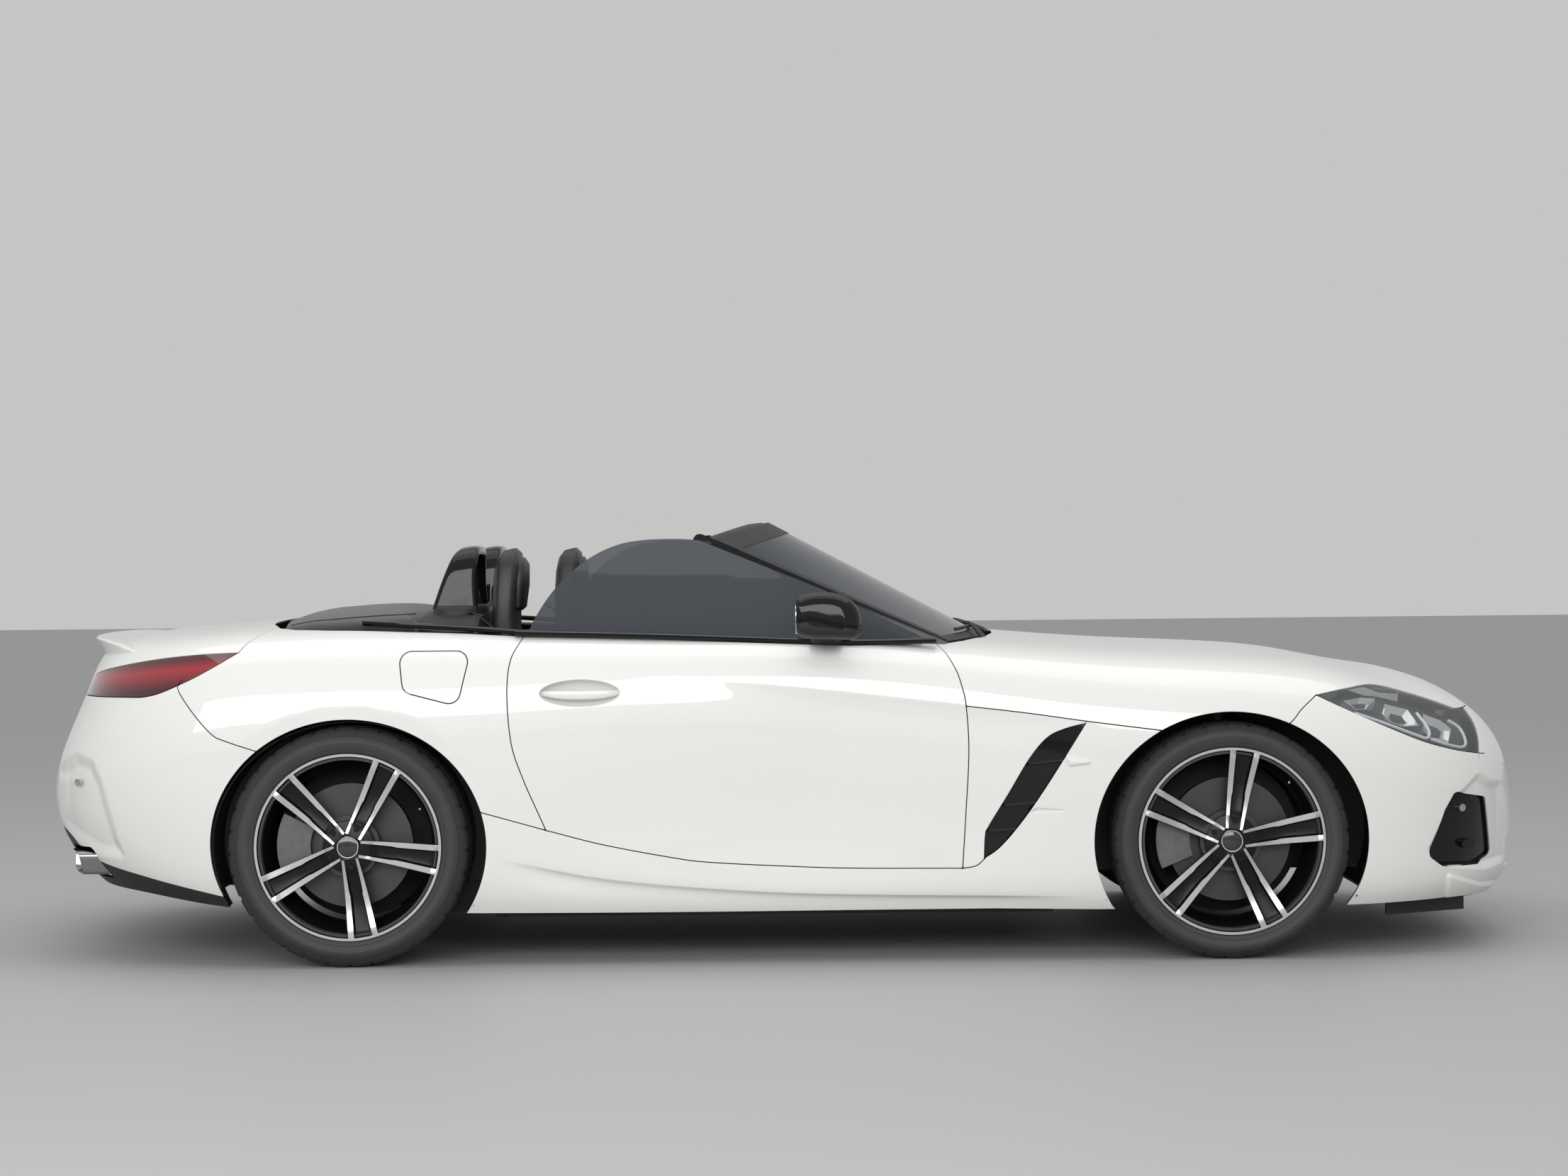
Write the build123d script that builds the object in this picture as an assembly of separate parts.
"""Roadster convertible with its soft top stowed, in millimetres.

+X points forward, +Y to the car's left and +Z up. The origin is on the ground below the middle of the car.
The painted body is one smooth net of waterlines; the panels are cut out of it along the shut lines.
"""
from build123d import *
from math import cos, pi, radians, sin
import os

import numpy as np

# ---------------------------------------------------------------- driving dimensions
HALF_LENGTH = 2162.0
FRONT_AXLE_X, REAR_AXLE_X = 1252.0, -1218.0
SKIN = 12.0                 # thickness of a painted panel with its hem
GAP = 5.0                   # shut gap between panels
RIM_SEAT_R, RIM_LIP_R = 243.0, 260.0
TUB_HALF = 850.0            # half width over the rocker boxes
TUB_FLOOR = 125.0
ROCKER_TOP = 252.0
TUNNEL_HALF, TUNNEL_TOP = 112.0, 330.0
SEAT_Y, SEAT_HALF = 375.0, 240.0
DRIVER_FORWARD = 130.0      # the driver's seat stands this much further forward

# wheels: axle x, wheel radius, half width, wheel centre y
WHEELS = {
    "front": (FRONT_AXLE_X, 330.0, 122.0, 797.0),
    "rear": (REAR_AXLE_X, 337.0, 132.0, 790.0),
}
# arches: half axis along x, half axis along z
ARCHES = {"front": (386.0, 363.0), "rear": (388.0, 359.0)}
# wheel liners: half axes, and the distance of the inner wall from the centre plane
LINERS = {"front": (448.0, 370.0, 455.0), "rear": (386.0, 345.0, 650.0)}

# waterlines of the half body from the sill up to the centreline
# half widths: front axle, door, rear axle; plan curve: nose reach and squareness, tail reach and squareness;
# heights: nose centre, nose corner, front axle, door, rear axle, tail corner, tail centre
WATERLINES = [
    (872, 868, 872, 2120, 3.0, -2040, 3.0, 150, 150, 140, 140, 148, 205, 215),
    (908, 905, 906, 2168, 3.1, -2110, 3.1, 205, 205, 190, 190, 215, 270, 285),
    (920, 886, 922, 2170, 3.2, -2172, 3.2, 330, 330, 330, 330, 360, 395, 400),
    (930, 889, 934, 2166, 3.2, -2172, 3.3, 450, 450, 470, 470, 500, 520, 525),
    (932, 904, 938, 2150, 3.1, -2125, 3.3, 545, 550, 610, 650, 650, 640, 640),
    (915, 900, 925, 2120, 2.9, -2078, 3.2, 600, 625, 715, 775, 770, 745, 745),
    (860, 876, 878, 2085, 2.8, -2048, 3.1, 640, 680, 798, 865, 880, 850, 838),
    (715, 795, 785, 2035, 2.7, -2012, 3.0, 680, 735, 843, 913, 950, 912, 896),
    (400, 410, 420, 1965, 2.6, -1950, 2.8, 725, 785, 858, 935, 965, 938, 918),
    (0, 0, 0, 1860, 2.5, -1850, 2.6, 762, 805, 868, 945, 973, 945, 926),
]
NOSE_STEPS, SIDE_STEPS, TAIL_STEPS = 7, 8, 7

# shut lines in side view (x, z)
DOOR_LINE = [(-725, 960), (-731, 917), (-761, 854), (-769, 759), (-757, 620), (-725, 521), (-691, 441),
             (-664, 379), (-503, 336), (-305, 297), (-206, 284), (-8, 272), (190, 264), (499, 261),
             (509, 409), (519, 587), (513, 714), (503, 766), (487, 815), (458, 865), (436, 885), (400, 915)]
HOOD_SIDE_LINE = [(513, 714), (685, 693), (850, 669), (1062, 641), (1180, 625)]
HOOD_NOSE_LINE = [(1330, 600), (1415, 657), (1451, 696), (1496, 734), (1590, 750), (1684, 756), (1800, 728),
                  (1899, 690), (1960, 678), (2230, 684)]
LAMP_LOWER_LINE = [(1496, 734), (1589, 690), (1700, 641), (1804, 599), (1900, 572), (1993, 554),
                   (2230, 548)]
SILL_FRONT_LINE = [(499, 261), (535, 267), (557, 284), (600, 330)]
SILL_REAR_LINE = [(-664, 379), (-864, 437)]
BUMPER_LINE = [(-1688, 806), (-1699, 783), (-1655, 721), (-1596, 657), (-1556, 637), (-1440, 598)]
TRUNK_LINE = [(-1400, 985), (-1450, 951), (-1507, 909), (-1530, 882), (-1650, 876), (-1780, 862),
              (-1912, 838), (-2000, 812), (-2040, 770), (-2230, 766)]
TAIL_LAMP_LINE = [(-1530, 882), (-1605, 838), (-1680, 800), (-1782, 762), (-1900, 756), (-2230, 750)]
DIFFUSER_LINE = [(-1500, 178), (-1614, 205), (-1799, 247), (-1969, 289), (-2060, 350), (-2110, 372),
                 (-2230, 376)]
BELT_LINE = [(436, 885), (190, 883), (-206, 899), (-405, 907), (-731, 917), (-1064, 937), (-1290, 952),
             (-1420, 966)]
VENT_OUTLINE = [(850, 667), (784, 650), (735, 625), (685, 566), (626, 468), (571, 379), (561, 353),
                (557, 284), (606, 319), (666, 388), (735, 486)]
AIR_CURTAIN = [(1901, 445), (2002, 434), (2026, 288), (1960, 240), (1840, 288)]
# openings in the nose in front view (y, z) of the right half
GRILLE_OUTLINE = [(1, 640), (-330, 628), (-400, 560), (-385, 430), (-330, 405), (1, 400)]
INTAKE_OUTLINE = [(1, 340), (-470, 340), (-560, 300), (-540, 215), (1, 200)]
EXHAUST_OUTLINE = [(-690, 318), (-530, 318), (-545, 238), (-668, 238)]
VENT_SLATS = (559, 440, 367)                # heights of the slats in the fender vent
# ducktail along the deck's rear edge: y, x of the skin 880 mm up, reach behind it, height of its edge
DUCKTAIL = [(0, -2015, 64, 924), (-250, -2004, 62, 923), (-420, -1981, 54, 920), (-540, -1933, 34, 912),
            (-640, -1868, 8, 900)]
FLAP_OUTLINE = [(-1078, 884), (-870, 884), (-905, 726), (-1061, 767)]
HANDLE_CENTRE, HANDLE_HALF = (-566.0, 761.0), (114.0, 38.0)
LAMP_END_Y, TAIL_LAMP_END_Y = 470.0, 420.0
# cockpit opening in plan (x, y of the right half), cut right through, and the wider one above the belt line
COCKPIT_PLAN = [(640, 1), (628, -250), (590, -480), (520, -660), (462, -750), (400, -765), (100, -783),
                (-300, -790), (-731, -787), (-1064, -765), (-1290, -735), (-1390, -705), (-1440, -655),
                (-1480, -500), (-1496, -350), (-1505, 1)]
ABOVE_BELT = BELT_LINE + [(-1450, 1200), (446, 1200)]

GLASS_TAPER = 0.022                 # the side glass closes in this much per length towards the front
WINDSCREEN_BASE = [(479, 680, 888), (609, 0, 894)]
WINDSCREEN_TOP = [(-193, 550, 1187), (-42, 0, 1240)]


# ---------------------------------------------------------------- small helpers
def block(x, y, z):
    """Box between two values on each axis."""
    middle, size = [[(b + a) / 2 for a, b in (x, y, z)], [b - a for a, b in (x, y, z)]]
    return Pos(*middle) * Box(*size)


def side_prism(outline, y0, y1):
    """Closed side-view outline (x, z) carried across the car from y0 to y1."""
    face = make_face(Polyline(*outline, close=True))
    return Plane((0, y1, 0), x_dir=(1, 0, 0), z_dir=(0, -1, 0)) * extrude(face, amount=y1 - y0)


def front_prism(outline, x0, x1):
    """Closed front-view outline (y, z) carried along the car from x0 to x1."""
    face = make_face(Polyline(*outline, close=True))
    return Plane((x0, 0, 0), x_dir=(0, 1, 0), z_dir=(1, 0, 0)) * extrude(face, amount=x1 - x0)


def plan_prism(outline, z0, z1):
    """Closed plan outline (x, y) carried up from z0 to z1."""
    return Pos(0, 0, z0) * extrude(make_face(Polyline(*outline, close=True)), amount=z1 - z0)


def plan_plate(outline, side, z0, z1):
    """Level plate from the outline of its right half (x, |y|), on one side of the car."""
    return plan_prism([(x, side * y) for x, y in outline], z0, z1)


def grown(outline, amount):
    """Face of an outline whose edge is moved out by an amount, or in where it is negative."""
    return offset(make_face(Polyline(*outline, close=True)), amount=amount, kind=Kind.INTERSECTION)


def side_cut(outline, amount, y0, y1):
    """Side-view outline, grown by an amount and carried from y0 to y1."""
    side_view = Plane((0, y1, 0), x_dir=(1, 0, 0), z_dir=(0, -1, 0))
    return side_view * extrude(grown(outline, amount), amount=y1 - y0)


def front_cut(outline, amount, x0, x1):
    """Front-view outline, grown by an amount and carried from x0 to x1."""
    front_view = Plane((x0, 0, 0), x_dir=(0, 1, 0), z_dir=(1, 0, 0))
    return front_view * extrude(grown(outline, amount), amount=x1 - x0)


def gap_sheet(line, y0=-1100.0, y1=2.0):
    """The open space of a shut line (x, z), one gap wide, across the right side of the car."""
    ribbon = trace(Polyline(*line), line_width=GAP)
    return Plane((0, y1, 0), x_dir=(1, 0, 0), z_dir=(0, -1, 0)) * extrude(ribbon, amount=y1 - y0)


def turned(profile, x, y, z):
    """Profile of (radius, y offset) points turned about the axle line through (x, y, z)."""
    face = make_face(Polyline(*[(r, t) for r, t in profile], close=True))
    return Pos(x, y, z) * revolve(face, axis=Axis.Y)


def rod(a, b, radius):
    """Round bar from point a to point b."""
    start, end = Vector(*a), Vector(*b)
    plane = Plane(origin=start, z_dir=end - start)
    return plane * extrude(Circle(radius), amount=(end - start).length)


def mirrored(shape):
    """The same piece on the other side of the car."""
    return mirror(shape, about=Plane.XZ)


def both(shape):
    """A piece with its mirror image, as two separate solids of one node."""
    return Compound(children=list(shape.solids()) + list(mirrored(shape).solids()))


def whole(half):
    """A right half trimmed to the centre plane and joined to its mirror image."""
    trim = 0.2
    flat = half & block((-3000, 3000), (-1200, -trim), (0, 2000))
    flat = Pos(0, trim, 0) * max(flat.solids(), key=lambda solid: solid.area)
    return flat + mirrored(flat)


def joined(*shapes):
    """Everything fused into one solid."""
    result = shapes[0]
    for shape in shapes[1:]:
        result = result + shape
    return result


# ---------------------------------------------------------------- body form
def ease(a, b, t):
    return a + (b - a) * t * t * (3 - 2 * t)


def net_point(row, part, t):
    """Control point on one waterline: part 0 is the nose, 1 the side and 2 the tail, t runs 0 to 1."""
    front, door, rear, nose_x, nose_n, tail_x, tail_n, z0, z1, z2, z3, z4, z5, z6 = row
    if part == 1:
        x = FRONT_AXLE_X + (REAR_AXLE_X - FRONT_AXLE_X) * t
        if t < .5:
            return x, -ease(front, door, 2 * t), ease(z2, z3, 2 * t)
        return x, -ease(door, rear, 2 * t - 1), ease(z3, z4, 2 * t - 1)
    axle_x, reach, half, square, zs = ((FRONT_AXLE_X, nose_x, front, nose_n, (z0, z1, z2)) if part == 0
                                       else (REAR_AXLE_X, tail_x, rear, tail_n, (z6, z5, z4)))
    s = t if part == 0 else 1 - t
    x = axle_x + (reach - axle_x) * cos(s * pi / 2) ** (2 / square)
    y = -half * sin(s * pi / 2) ** (2 / square)
    z = zs[0] + (zs[1] - zs[0]) * 2 * s if s < .5 else ease(zs[1], zs[2], 2 * s - 1)
    return x, y, z


def control_net():
    """Control points, columns from the nose round the side to the tail, with phantom rows round the rim."""
    steps = enumerate((NOSE_STEPS, SIDE_STEPS, TAIL_STEPS))
    stations = [(part, k / n) for part, n in steps for k in range(n)]
    stations.append((2, 1.0))
    net = np.array([[net_point(row, part, t) for row in WATERLINES] for part, t in stations])
    flip = np.array([1, -1, 1])
    net = np.concatenate([net[1:2] * flip, net, net[-2:-1] * flip], 0)
    return np.concatenate([2 * net[:, :1] - net[:, 1:2], net, net[:, -2:-1] * flip], 1)


def weights(values, count, slope=False):
    """Uniform cubic B-spline weights (or their slopes) of `count` control points at each value."""
    table = np.zeros((len(values), count))
    for line, value in zip(table, values):
        i = min(int(value), count - 4)
        t = value - i
        if slope:
            line[i:i + 4] = (-3 * (1 - t) ** 2, 9 * t * t - 12 * t, -9 * t * t + 6 * t + 3, 3 * t * t)
        else:
            line[i:i + 4] = ((1 - t) ** 3, 3 * t ** 3 - 6 * t * t + 4, -3 * t ** 3 + 3 * t * t + 3 * t + 1,
                             t ** 3)
    return table / 6


def body_grid(depth, per_span):
    """Points of the body form, moved inwards by a depth."""
    net = control_net()
    columns, rows = net.shape[:2]
    us = np.linspace(0, columns - 3, per_span * (columns - 3) + 1)
    vs = np.linspace(0, rows - 3, per_span * (rows - 3) + 1)
    wu, wv = weights(us, columns), weights(vs, rows)
    points = np.einsum("ai,bj,ijk->abk", wu, wv, net)
    if not depth:
        return points
    du = np.einsum("ai,bj,ijk->abk", weights(us, columns, True), wv, net)
    dv = np.einsum("ai,bj,ijk->abk", wu, weights(vs, rows, True), net)
    inward = np.cross(du, dv)
    inward[0, :, 1] = inward[-1, :, 1] = inward[:, -1, 1] = 0      # the rims stay in the centre plane
    length = np.linalg.norm(inward, axis=2, keepdims=True)
    inward[0, -1], inward[-1, -1], length[0, -1], length[-1, -1] = (0, 0, 1), (0, 0, 1), 1, 1
    inward = inward / length
    side = -np.sign(inward[len(us) // 2, len(vs) // 2, 1])          # the outside of the right half faces -Y
    inward *= -side
    inward[0, -1] = inward[-1, -1] = (0, 0, -1)
    return points + depth * inward


def smooth_face(grid):
    """Smooth face through a grid of points."""
    return Face.make_surface_from_array_of_points([[Vector(*q) for q in line] for line in grid], tol=0.2,
                                                  min_deg=3, max_deg=3)


def sheet_between(outer_grid, inner_grid):
    """Curved solid sheet between two grids of points."""
    outer, inner = smooth_face(outer_grid), smooth_face(inner_grid)
    rims = []
    for edge in outer.edges():
        twin = min(inner.edges(), key=lambda other: (other.center() - edge.center()).length)
        rims.append(Face.make_surface_from_curves(edge, twin))
    return Solid(Shell([outer, inner] + rims))


MID_SKIN = body_grid(SKIN / 2, 4).reshape(-1, 3)


def panel(solids, x, z):
    """The cut panel that holds the middle of the skin at side-view place (x, z)."""
    seed = Vector(*MID_SKIN[np.argmin(np.hypot(MID_SKIN[:, 0] - x, MID_SKIN[:, 2] - z))])
    return min(solids, key=lambda solid: solid.distance_to(seed))


def cut_skin():
    """The right half of the shell, opened for cockpit, wheels and vents and cut along every shut line."""
    skin = sheet_between(body_grid(0, 3), body_grid(SKIN, 3))
    skin = skin - plan_prism(COCKPIT_PLAN, 820, 1200) - side_prism(ABOVE_BELT, -1000, -650)
    for name, (half_x, half_z) in ARCHES.items():
        axle_x, radius = WHEELS[name][:2]
        arch = Plane((axle_x, -600, radius), x_dir=(1, 0, 0), z_dir=(0, -1, 0)) * extrude(
            Ellipse(half_x, half_z), amount=500)
        skin = skin - arch
    skin = skin - side_prism(VENT_OUTLINE, -1100, -700) - side_prism(AIR_CURTAIN, -1100, -300)
    skin = skin - front_prism(GRILLE_OUTLINE, 1900, 2300) - front_prism(INTAKE_OUTLINE, 1900, 2300)
    skin = skin - front_cut(EXHAUST_OUTLINE, GAP, -2300, -1700)
    sheets = [gap_sheet(DOOR_LINE, y1=-500), gap_sheet(HOOD_SIDE_LINE), gap_sheet(HOOD_NOSE_LINE),
              gap_sheet(LAMP_LOWER_LINE, y1=-LAMP_END_Y), gap_sheet(SILL_FRONT_LINE, y1=-700),
              gap_sheet(SILL_REAR_LINE, y1=-700), gap_sheet(BUMPER_LINE, y1=-600), gap_sheet(TRUNK_LINE),
              gap_sheet(TAIL_LAMP_LINE, y1=-TAIL_LAMP_END_Y), gap_sheet(DIFFUSER_LINE),
              block((1900, 2200), (-LAMP_END_Y, GAP - LAMP_END_Y), (540, 690)),
              block((-2200, -1950), (-TAIL_LAMP_END_Y, GAP - TAIL_LAMP_END_Y), (750, 800))]
    for sheet in sheets:
        skin = skin - sheet
    return skin.solids()


# ---------------------------------------------------------------- painted panels
def painted_panels():
    """Panels of the whole car by name; those that cross the centre plane are joined to their mirror image."""
    solids = cut_skin()
    hood, trunk = panel(solids, 1000, 862), panel(solids, -1800, 935)
    nose, rump, diffuser = panel(solids, 1850, 200), panel(solids, -1750, 500), panel(solids, -1700, 205)
    quarter = panel(solids, -1218, 800)
    return {
        "hood": whole(hood),
        "trunk_lid": joined(whole(trunk), ducktail(), mirrored(ducktail())),
        "front_bumper": whole(nose),
        "rear_bumper": whole(rump),
        "rear_diffuser": whole(diffuser),
        "headlamps": both(panel(solids, 1700, 700)),
        "tail_lamps": both(panel(solids, -1720, 840)),
        "front_fenders": both(panel(solids, 530, 500)),
        "side_skirts": both(panel(solids, 0, 200)),
        "door_skin": panel(solids, -200, 600),
        "quarter": quarter,
    }


def ducktail():
    """Right half of the raised edge of the deck, sunk a little into the lid's skin."""
    sections = []
    for y, x, reach, top in DUCKTAIL:
        outline = [(x + 92, 903), (x - reach, top), (x - reach - 3, top - 8), (x - 12, 862), (x + 3, 866),
                   (x + 92, 897)]
        sections.append(make_face(Polyline(*[(px, y, pz) for px, pz in outline], close=True)))
    return loft(sections, ruled=True)


def fuel_flap(quarter):
    """The flap and the quarter panel that it is cut from."""
    frame = side_prism(FLAP_OUTLINE, -1100, -700)
    core = side_prism([(-1073, 879), (-876, 879), (-909, 733), (-1057, 771)], -1100, -700)
    return quarter & core, quarter - frame


# ---------------------------------------------------------------- doors, right side
def door_body(door_skin):
    """Outer panel and inner casing as one piece, with the slot for the glass."""
    outline = [(-735, 885), (-742, 760), (-728, 620), (-695, 530), (-650, 430), (-620, 395), (-300, 320),
               (-8, 297), (415, 290), (440, 420), (440, 700), (415, 838), (100, 872)]
    section = [(-882, 285), (-884, 700), (-868, 790), (-815, 862), (-800, 885), (-745, 885), (-745, 285)]
    casing = side_prism(outline, -900, -700) & front_prism(section, -800, 500)
    door = door_skin + casing
    slot = block((-732, 412), (-818, -752), (812, 1000))
    recess = Plane((HANDLE_CENTRE[0], -870, HANDLE_CENTRE[1]), x_dir=(1, 0, 0), z_dir=(0, -1, 0)) * extrude(
        Ellipse(*HANDLE_HALF), amount=100)
    return door - slot - recess


def door_handle():
    """Cup behind the pull, and the pull bar across it."""
    x, z = HANDLE_CENTRE
    plane = Plane((x, -872, z), x_dir=(1, 0, 0), z_dir=(0, -1, 0))
    cup = plane * extrude(Ellipse(HANDLE_HALF[0] - 1, HANDLE_HALF[1] - 1), amount=8)
    bar = block((x - 84, x + 84), (-902, -890), (z - 20, z + 4))
    posts = [block((x + at, x + at + 14), (-892, -873), (z - 16, z - 2)) for at in (-84, 70)]
    return joined(cup, bar, *posts)


def door_glass():
    """Curved side glass, raised."""
    outer = ThreePointArc((-806, 822), (-718, 1035), (-607, 1188))
    inner = ThreePointArc((-801, 822), (-713.5, 1032), (-604, 1184))
    section = make_face([outer, Line(outer @ 1, inner @ 1), inner, Line(inner @ 0, outer @ 0)])
    sheet = extrude(Plane((-800, 0, 0), x_dir=(0, 1, 0), z_dir=(1, 0, 0)) * section, amount=1300,
                    dir=(1, GLASS_TAPER, 0))
    outline = [(-722, 815), (-724, 905), (-700, 965), (-640, 1055), (-560, 1130), (-480, 1172),
               (-400, 1195), (-235, 1195), (120, 1040), (398, 905), (398, 815)]
    return sheet & side_prism(outline, -1000, -500)


def mirror_housing():
    """Outside mirror: a rounded pod on a short stalk from the belt."""
    # y, half length, half height, height of the middle
    sections = [(-872, 38, 30, 945), (-885, 62, 43, 953), (-905, 81, 55, 959), (-935, 96, 68, 963),
                (-965, 105, 75, 966), (-990, 101, 71, 968), (-1005, 90, 60, 968), (-1012, 70, 42, 968)]
    profiles = [Plane((122, y, z), x_dir=(1, 0, 0), z_dir=(0, -1, 0)) * make_face(Polyline(
        *[(half_x * cos(a), half_z * sin(a)) for a in np.linspace(0, 2 * pi, 25)[:-1]], close=True))
        for y, half_x, half_z, z in sections]
    pod = loft(profiles, ruled=True)
    stalk = side_prism([(70, 893), (170, 893), (155, 945), (95, 945)], -895, -826)
    return pod + stalk


# ---------------------------------------------------------------- glass and its frame
def windscreen_glass():
    """Curved pane between the base arc and the top arc, each given by its corner and its middle."""
    sections = []
    for corner, middle in (WINDSCREEN_BASE, WINDSCREEN_TOP):
        right, left, centre = Vector(corner[0], -corner[1], corner[2]), Vector(*corner), Vector(*middle)
        back = ((right + left) * .5 - centre).normalized() * 9
        outer = ThreePointArc(right, centre, left)
        inner = ThreePointArc(right + back, centre + back, left + back)
        sections.append(make_face([outer, Line(outer @ 1, inner @ 1), inner, Line(inner @ 0, outer @ 0)]))
    return loft(sections, ruled=True)


def windscreen_frame():
    """Two pillars and the header that joins them."""
    pillars = []
    for side in (-1, 1):
        foot = [(385, 742), (440, 742), (478, 686), (425, 682)]
        head = [(-262, 572), (-205, 575), (-186, 545), (-240, 541)]
        ends = [Plane.XY.offset(z) * make_face(Polyline(*[(x, side * y) for x, y in outline], close=True))
                for z, outline in ((870, foot), (1200, head))]
        pillar = loft(ends, ruled=True)
        pillars.append(pillar)
    front = ThreePointArc((-200, -574), (-48, 0), (-200, 574))
    back = ThreePointArc((-262, -574), (-112, 0), (-262, 574))
    header_plan = make_face([front, Line(front @ 1, back @ 1), back, Line(back @ 0, front @ 0)])
    header = Pos(0, 0, 1150) * extrude(header_plan, amount=100)
    crown = front_prism([(-600, 1160), (-600, 1180), (-550, 1196), (0, 1244), (550, 1196), (600, 1180),
                         (600, 1160), (550, 1160), (0, 1212), (-550, 1160)], -300, 0)
    return joined(header & crown, *pillars) - windscreen_glass()


# ---------------------------------------------------------------- wheels
def tyre(name):
    """Tyre of one wheel at the origin: tread, shoulders, walls and beads."""
    _, radius, half, _ = WHEELS[name]
    right = [(radius, half - 30), (radius - 10, half - 8), (radius - 40, half), (radius - 62, half - 3),
             (262, half - 14), (RIM_SEAT_R + .5, half - 14)]
    profile = right + [(r, -t) for r, t in reversed(right)]
    return turned(profile, 0, 0, 0)


def rim(name):
    """Rim with five forked spokes, facing -Y, at the origin."""
    _, _, half, _ = WHEELS[name]
    edge = half - 14
    lip = [(RIM_LIP_R, -edge - 7), (RIM_LIP_R, -edge - .5), (RIM_SEAT_R, -edge - .5),
           (RIM_SEAT_R, -edge + 20), (222, -edge + 60), (222, edge - 30), (RIM_SEAT_R, edge - 8),
           (RIM_SEAT_R, edge + .5), (RIM_LIP_R - 4, edge + .5), (RIM_LIP_R - 4, edge + 6), (236, edge + 6),
           (236, edge - 6), (214, edge - 32), (214, -edge + 60), (234, -edge + 12), (238, -edge - 7)]
    barrel = turned(lip, 0, 0, 0)
    hub = [(33, -edge - 2), (58, -edge - 2), (76, -edge + 8), (80, -edge + 34), (33, -edge + 34)]
    cap = turned([(0, -edge - 2), (33, -edge - 2), (33, -edge + 4), (0, -edge + 4)], 0, 0, 0)
    spokes = [Rot(0, 72 * k, 0) * forked_spoke(-edge - 3) for k in range(5)]
    return joined(barrel, turned(hub, 0, 0, 0), cap, *spokes)


def forked_spoke(front):
    """Upright spoke whose two bright edges stand proud of the pocket between them."""
    reach, waist, root = 237, 134, 40
    outline = [(-25, root), (-33, waist), (-44, reach), (44, reach), (33, waist), (25, root)]
    pocket = [(-17, 68), (-23, waist), (-25, waist + 6), (-30, reach - 8), (30, reach - 8), (25, waist + 6),
              (23, waist), (17, 68)]
    profile = [(front + 1, root), (front + 12, 134), (front + 1, reach), (front + 24, reach),
               (front + 34, 134), (front + 37, root)]
    body = side_prism(outline, front - 10, front + 60) & front_prism(profile, -60, 60)
    return body - side_prism(pocket, front - 20, front + 19)


def brake_disc(name):
    """Disc and hat at the origin, on the inner side of the wheel's hub."""
    _, _, half, _ = WHEELS[name]
    hub = -(half - 14) + 34
    return turned([(33, hub + .2), (86, hub + .2), (86, hub + 44), (174, hub + 44), (174, hub + 74),
                   (78, hub + 74), (78, hub + 10), (33, hub + 10)], 0, 0, 0)


def caliper(name):
    """Caliper that straddles the disc at the rear side of the axle, at the origin."""
    _, _, half, _ = WHEELS[name]
    hub = -(half - 14) + 34
    ring = turned([(112, hub + 22), (206, hub + 22), (206, hub + 96), (112, hub + 96)], 0, 0, 0)
    slot = turned([(100, hub + 39), (182, hub + 39), (182, hub + 79), (100, hub + 79)], 0, 0, 0)
    wedge = side_prism([(0, 0), (-260, -110), (-260, 130)], -200, 200)
    return (ring - slot) & wedge


def placed_wheel(name, shape, side):
    """A wheel piece moved to its corner; side is -1 right, 1 left."""
    axle_x, radius, _, track = WHEELS[name]
    piece = shape if side < 0 else mirrored(shape)
    return Pos(axle_x, side * track, radius) * piece


def knuckle():
    """Right front knuckle: upright, spindle, caliper bridge and steering arm, in car coordinates."""
    axle_x, radius, half, track = WHEELS["front"]
    hub_y = -track - (half - 14) + 34
    upright = side_prism([(axle_x - 46, 205), (axle_x + 46, 205), (axle_x + 52, radius), (axle_x + 30, 596),
                          (axle_x - 30, 596), (axle_x - 52, radius)], -664, -634)
    spindle = rod((axle_x, -640, radius), (axle_x, hub_y + 12, radius), 60)
    stub = rod((axle_x, -640, radius), (axle_x, hub_y - 24, radius), 30)
    bridge = block((axle_x - 170, axle_x - 40), (-664, -644), (radius - 40, radius + 40)) + block(
        (axle_x - 165, axle_x - 120), (-785, -650), (radius - 24, radius + 24))
    arm = block((axle_x - 150, axle_x - 40), (-650, -632), (232, 256))
    grip = placed_wheel("front", caliper("front"), -1)
    return joined(upright, spindle, stub, bridge, arm, grip)


def rear_carrier():
    """Right rear hub carrier with its spindle and caliper."""
    axle_x, radius, half, track = WHEELS["rear"]
    hub_y = -track - (half - 14) + 34
    upright = side_prism([(axle_x - 60, 215), (axle_x + 60, 215), (axle_x + 70, radius), (axle_x + 40, 470),
                          (axle_x - 40, 470), (axle_x - 70, radius)], -640, -610)
    spindle = rod((axle_x, -612, radius), (axle_x, hub_y + 12, radius), 60)
    stub = rod((axle_x, -612, radius), (axle_x, hub_y - 24, radius), 30)
    bridge = block((axle_x - 170, axle_x - 40), (-640, -612), (radius - 40, radius + 40)) + block(
        (axle_x - 165, axle_x - 120), (-790, -630), (radius - 24, radius + 24))
    grip = placed_wheel("rear", caliper("rear"), -1)
    return joined(upright, spindle, stub, bridge, grip)


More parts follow.
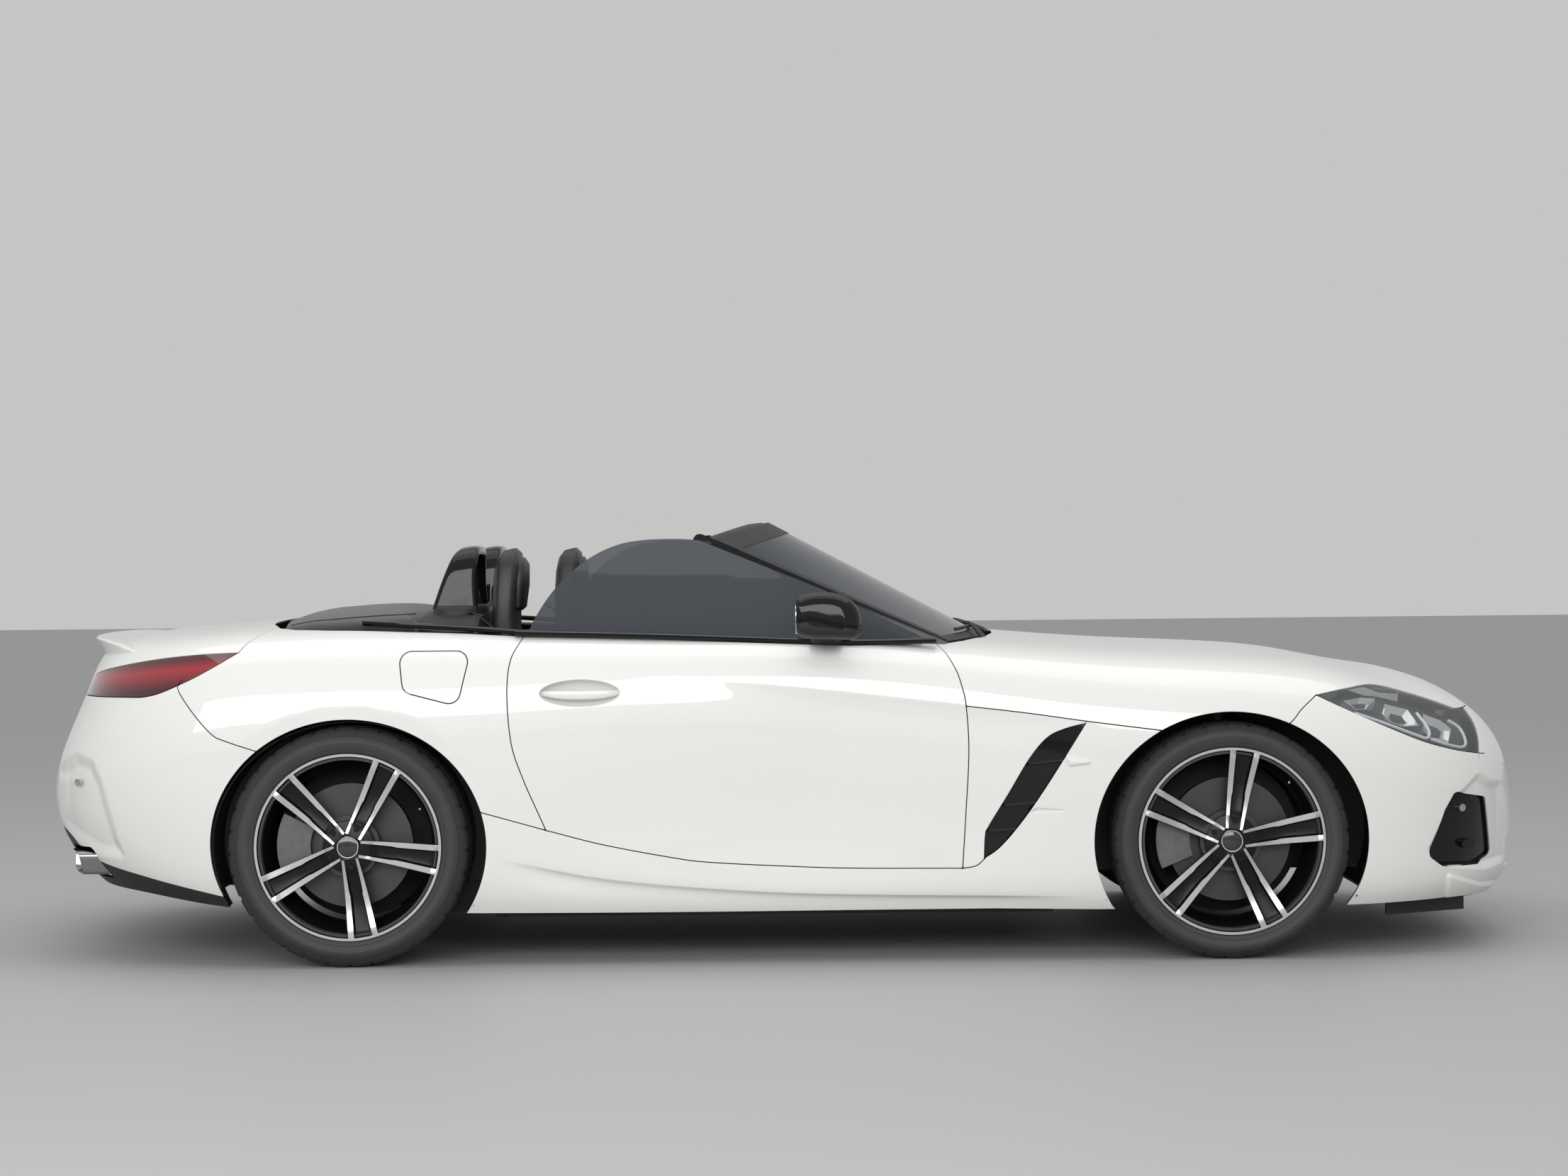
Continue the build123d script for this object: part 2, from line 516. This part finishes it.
# ---------------------------------------------------------------- chassis
def floor_tub():
    """Floor, tunnel, rocker boxes, firewall, hinge posts, rear bulkhead and the shelf behind it."""
    floor = block((-815, 760), (-780, 780), (TUB_FLOOR, 145)) + block((-960, -800), (-630, 630),
                                                                      (TUB_FLOOR, 145))
    tunnel = block((-960, 700), (-TUNNEL_HALF, TUNNEL_HALF), (145, TUNNEL_TOP)) - block(
        (-1000, 740), (-TUNNEL_HALF + 12, TUNNEL_HALF - 12), (145, TUNNEL_TOP - 12))
    firewall = block((700, 716), (-740, 740), (140, 760))
    bulkhead = block((-976, -960), (-645, 645), (TUB_FLOOR, 860))
    shelf = block((-1440, -970), (-600, 600), (760, 776))
    tail = block((-1960, -1440), (-560, 560), (560, 576)) + block((-1456, -1440), (-600, 600), (560, 776))
    rocker = block((-815, 760), (-TUB_HALF, -700), (TUB_FLOOR + 18, ROCKER_TOP))
    hinge_post = block((545, 650), (-850, -760), (ROCKER_TOP - 5, 620))
    latch_post = block((-815, -795), (-800, -630), (TUB_FLOOR, 860))
    cheek = block((-976, -795), (-645, -630), (TUB_FLOOR, 860))
    side = joined(rocker, hinge_post, cheek, latch_post)
    return joined(floor, tunnel, firewall, bulkhead, shelf, tail, side, mirrored(side))


def front_subframe():
    """Rails, cross members, lower arms and strut towers."""
    rails = [block((716, 1980), (side * 400 - 30, side * 400 + 30), (300, 390)) for side in (-1, 1)]
    cross = block((1170, 1330), (-430, 430), (170, 240)) + block((1960, 1990), (-430, 430), (280, 420))
    risers = [block((1200, 1300), (side * 400 - 30, side * 400 + 30), (235, 305)) for side in (-1, 1)]
    sides = []
    for side in (-1, 1):
        arm = plan_plate([(1200, 425), (1300, 425), (1275, 664), (1229, 664)], side, 168, 192)
        pin = rod((1252, side * 655, 190), (1252, side * 655, 203), 20)
        strut = rod((1252, side * 628, 599), (1252, side * 600, 760), 26)
        tower = block((1180, 1324), (side * 560 - 50, side * 560 + 50), (712, 742))
        web = block((1190, 1314), (side * 470 - 60, side * 470 + 60), (712, 742)) + block(
            (1190, 1314), (side * 425 - 12, side * 425 + 12), (380, 742))
        sides.append(joined(arm, pin, strut, tower, web))
    return joined(cross, *risers, *rails, *sides)


def rear_subframe():
    """Rear cross member, axle housing, drive shafts, lower arms and side rails."""
    frame = block((-1330, -1110), (-330, 330), (190, 260))
    casing = Pos(-1218, 0, 330) * Sphere(120)
    sides = []
    for side in (-1, 1):
        arm = plan_plate([(-1290, 320), (-1150, 320), (-1190, 608), (-1250, 608)], side, 218, 244)
        shaft = rod((-1218, side * 60, 330), (-1218, side * 609, 337), 22)
        rail = block((-1300, -976), (side * 450 - 30, side * 450 + 30), (400, 470))
        leg = block((-1290, -1150), (side * 450 - 20, side * 450 + 20), (240, 410))
        sides.append(joined(arm, shaft, rail, leg))
    return joined(frame, casing, *sides)


def wheel_liners():
    """Thin arched shells over the four wheels, each with an inner wall that is open round the axle."""
    shells = []
    for name, (half_x, half_z, inner_y) in LINERS.items():
        axle_x, radius = WHEELS[name][:2]
        # how much the drum is grown, how far its inner end stands off the inner wall, and its length
        drums = [Plane((axle_x, -inner_y - wall, radius), x_dir=(1, 0, 0), z_dir=(0, -1, 0)) * extrude(
            Ellipse(half_x + grow, half_z + grow), amount=depth)
            for grow, wall, depth in ((4, 0, 845 - inner_y), (0, 8, 900))]
        below_axle = block((axle_x - 700, axle_x + 700), (-900, -400), (-300, radius - 120))
        axle_gap = block((axle_x - 190, axle_x + 190), (-inner_y - 20, -inner_y + 20), (0, radius + 180))
        shells.append(drums[0] - drums[1] - below_axle - axle_gap)
    strut_hole = rod((1252, -640, 560), (1252, -595, 790), 40)
    return Compound(children=[s for shell in shells for s in both(shell - strut_hole).solids()])


def exhaust():
    """Silencer across the tail with a slanted outlet on each side."""
    box = Pos(-1700, 0, 278) * Box(260, 1040, 104)
    silencer = fillet(box.edges().filter_by(Axis.Y), 40)
    slant = side_prism([(-1800, 225), (-1800, 330), (-2080, 330), (-2040, 225)], -700, -500)
    swept = plan_prism([(-1800, -500), (-2070, -500), (-1992, -700), (-1800, -700)], 220, 340)
    tip = front_cut(EXHAUST_OUTLINE, 0, -2100, -1815) - front_cut(EXHAUST_OUTLINE, -6, -2101, -1860)
    pipe = rod((-1800, -480, 278), (-1850, -600, 278), 30)
    right = joined(tip & slant & swept, pipe)
    return joined(silencer, right, mirrored(right))


def front_undertray():
    """Flat tray below the nose with a strake ahead of each front wheel."""
    tray = [(2085, 0), (2078, 250), (2050, 420), (1990, 560), (1900, 650), (1790, 705), (1710, 735),
            (1710, 0)]
    strake = [(1960, 600), (1712, 732), (1712, 716), (1955, 586)]
    return joined(*[plan_plate(tray, side, 136, 144) for side in (-1, 1)],
                  *[plan_plate(strake, side, 100, 137) for side in (-1, 1)])


# ---------------------------------------------------------------- cabin
def seat(forward):
    """Plain seat: cushion, backrest and head restraint in one."""
    cushion = side_prism([(-700, 190), (-180, 190), (-150, 380), (-200, 420), (-600, 350), (-700, 350)],
                         -SEAT_HALF, SEAT_HALF)
    back = side_prism([(-610, 340), (-700, 300), (-790, 330), (-848, 640), (-858, 900), (-850, 1120),
                       (-830, 1165), (-785, 1168), (-757, 1120), (-765, 900)], -SEAT_HALF, SEAT_HALF)
    head = front_prism([(-SEAT_HALF, 180), (-SEAT_HALF, 850), (-150, 960), (-125, 1130), (-90, 1170),
                        (90, 1170), (125, 1130), (150, 960), (SEAT_HALF, 850), (SEAT_HALF, 180)], -1000, 0)
    rails = block((-640, -240), (-200, -170), (145, 192)) + block((-640, -240), (170, 200), (145, 192))
    return Pos(forward, 0, 0) * ((cushion + back) & head) + Pos(forward, 0, 0) * rails


def dashboard():
    """Dashboard from door to door."""
    return side_prism([(640, 600), (640, 780), (510, 838), (330, 849), (280, 812), (330, 740), (420, 620)],
                      -735, 735)


def steering_wheel():
    """Rim, spokes and boss of the wheel, and the shroud of its column that ends on the dashboard."""
    plane = Plane(origin=(95, SEAT_Y, 770), z_dir=(-cos(radians(24)), 0, sin(radians(24))))
    section = [(178 + 15 * cos(a), 15 * sin(a)) for a in np.linspace(0, 2 * pi, 13)[:-1]]
    ring = revolve(Plane.XZ * make_face(Polyline(*section, close=True)), axis=Axis.Z)
    boss = Cylinder(52, 40)
    spokes = [Rot(0, 0, a) * Pos(110, 0, 0) * Box(130, 26, 12) for a in (0, 180, 270)]
    column = Pos(0, 0, -191) * Cylinder(34, 330)
    return plane * joined(ring, boss, *spokes), plane * column - dashboard()


def centre_console():
    """Console over the tunnel, rising to the dashboard."""
    return side_prism([(-640, TUNNEL_TOP), (-640, 500), (-120, 480), (100, 470), (300, 620), (410, 620),
                       (440, 590), (440, TUNNEL_TOP)], -TUNNEL_HALF, TUNNEL_HALF)


def deck_trim():
    """Black trim between the seats and the stowed top, which carries the roll hoops."""
    section = [(-722, 880), (-722, 935), (-600, 975), (0, 991), (600, 975), (722, 935), (722, 880)]
    return front_prism(section, -1040, -868)


def soft_top_cover():
    """The folded soft top under its cover, seen as one low crowned form."""
    side = side_prism([(-1478, 930), (-1486, 968), (-1359, 996), (-1185, 1009), (-1046, 1015), (-1046, 880),
                       (-1420, 880)], -720, 720)
    front = front_prism([(-690, 870), (-690, 935), (-600, 980), (-300, 1006), (0, 1016), (300, 1006),
                         (600, 980), (690, 935), (690, 870)], -1500, -1000)
    plan = plan_prism([(-1046, -690), (-1370, -668), (-1424, -630), (-1464, -485), (-1484, 0), (-1464, 485),
                       (-1424, 630), (-1370, 668), (-1046, 690)], 800, 1100)
    return side & front & plan


def roll_hoops():
    """Two hoops behind the seats."""
    side = side_prism([(-1020, 980), (-877, 980), (-872, 1120), (-885, 1168), (-905, 1176), (-945, 1172),
                       (-975, 1120)], -600, 600)
    hoops = []
    for centre in (-SEAT_Y, SEAT_Y):
        outer = [(centre - 185, 980), (centre - 170, 1120), (centre - 130, 1176), (centre + 130, 1176),
                 (centre + 170, 1120), (centre + 185, 980)]
        inner = [(centre - 130, 970), (centre - 125, 1100), (centre - 100, 1136), (centre + 100, 1136),
                 (centre + 125, 1100), (centre + 130, 970)]
        hoops.append(side & (front_prism(outer, -1100, -800) - front_prism(inner, -1100, -800)))
    trim_top = front_prism([(-745, 800), (-745, 930), (-600, 975), (0, 991), (600, 975), (745, 930),
                            (745, 800)], -1100, -800)
    return Compound(children=[(h - trim_top).solids()[0] for h in hoops])


def cowl_panel():
    """Black panel between the hood and the windscreen."""
    front = [(x - 7, y) for x, y in COCKPIT_PLAN[:4]]
    back = [(x - 95, y) for x, y in reversed(COCKPIT_PLAN[:4])]
    half = plan_prism(front + back, 852, 880)
    return half + mirrored(half)


# ---------------------------------------------------------------- nose and tail fittings
def nose_insert(outline, x_back, x_front, bars):
    """Plate behind a nose opening with upright openings between its bars."""
    half = front_prism([(y * .97, 520 + (z - 520) * .97) for y, z in outline], x_back, x_front)
    plate = half + mirrored(half)
    low, high = min(z for _, z in outline) + 25, max(z for _, z in outline) - 25
    pitch = 2 * 300 / bars
    slots = [block((x_back - 1, x_front + 1), (-300 + pitch * k + 8, -300 + pitch * (k + 1) - 8),
                   (low, high)) for k in range(bars)]
    for slot in slots:
        plate = plate - slot
    return plate


def fender_vents():
    """Plate behind each fender vent with the slats that stand in the opening."""
    plate = side_cut(VENT_OUTLINE, 8, -880, -870)
    opening = side_cut(VENT_OUTLINE, -2, -894, -879)
    slats = [block((500, 900), (-894, -879), (z - 5, z + 5)) & opening for z in VENT_SLATS]
    return both(joined(plate, *slats))


def air_curtains():
    """Backing plate of the opening at each front corner, slanted along the skin."""
    strip = plan_prism([(1813, -811), (2024, -638), (2020, -633), (1809, -806)], 200, 500)
    return both(strip & side_cut(AIR_CURTAIN, 8, -1000, -500))


def headlamp_housings():
    """Dark inner housing a little behind each lamp glass, parallel to it."""
    outline = [(1540, 733), (1684, 742), (1800, 714), (1899, 676), (1962, 660), (1975, 572), (1900, 586),
               (1804, 613), (1700, 655), (1600, 700)]
    columns, rows = slice(0, 3 * NOSE_STEPS + 4), slice(9, 25)
    sheet = sheet_between(body_grid(42, 3)[columns, rows], body_grid(50, 3)[columns, rows])
    right = sheet & side_cut(outline, 0, -1000, -LAMP_END_Y - 20)
    return both(max(right.solids(), key=lambda solid: solid.volume))


def build_parts():
    """Every piece of the car by its node name."""
    parts = painted_panels()
    quarter, door_skin = parts.pop("quarter"), parts.pop("door_skin")
    flap, right_quarter = fuel_flap(quarter)
    parts["fuel_flap"] = flap
    left_quarter = mirrored(quarter)
    parts["rear_quarters"] = Compound(children=list(right_quarter.solids()) + list(left_quarter.solids()))
    pieces = {"door": door_body(door_skin), "door_handle": door_handle(), "door_glass": door_glass(),
              "mirror": mirror_housing()}
    for name, shape in pieces.items():
        parts[name + "_right"], parts[name + "_left"] = shape, mirrored(shape)
    parts["windscreen_glass"], parts["windscreen_frame"] = windscreen_glass(), windscreen_frame()
    corners = {"front_right": ("front", -1), "front_left": ("front", 1), "rear_right": ("rear", -1),
               "rear_left": ("rear", 1)}
    for corner, (axle, side) in corners.items():
        for piece, make in (("tyre", tyre), ("rim", rim), ("brake_disc", brake_disc)):
            parts[piece + "_" + corner] = placed_wheel(axle, make(axle), side)
    parts["knuckle_right"], parts["knuckle_left"] = knuckle(), mirrored(knuckle())
    parts["rear_hub_carriers"] = both(rear_carrier())
    parts["floor_tub"], parts["wheel_liners"] = floor_tub(), wheel_liners()
    parts["front_subframe"], parts["rear_subframe"] = front_subframe(), rear_subframe()
    parts["engine_block"] = block((800, 1380), (-200, 200), (250, 690))
    parts["exhaust"], parts["front_undertray"] = exhaust(), front_undertray()
    parts["fender_vents"], parts["air_curtains"] = fender_vents(), air_curtains()
    parts["headlamp_housings"] = headlamp_housings()
    parts["seat_right"] = Pos(0, -SEAT_Y, 0) * seat(0)
    parts["seat_left"] = Pos(0, SEAT_Y, 0) * seat(DRIVER_FORWARD)
    parts["steering_wheel"], parts["steering_column"] = steering_wheel()
    parts["dashboard"] = dashboard()
    parts["centre_console"] = centre_console()
    parts["deck_trim"], parts["soft_top_cover"] = deck_trim(), soft_top_cover()
    parts["roll_hoops"], parts["cowl_panel"] = roll_hoops(), cowl_panel()
    parts["front_grille"] = nose_insert(GRILLE_OUTLINE, 2060, 2085, 12)
    parts["lower_grille"] = nose_insert(INTAKE_OUTLINE, 2050, 2070, 8)
    return parts


def main():
    os.makedirs("parts", exist_ok=True)
    for name, shape in build_parts().items():
        export_step(shape, "parts/" + name + ".step")
        print(name, len(shape.solids()), round(shape.volume / 1e6, 2))


if __name__ == "__main__":
    main()
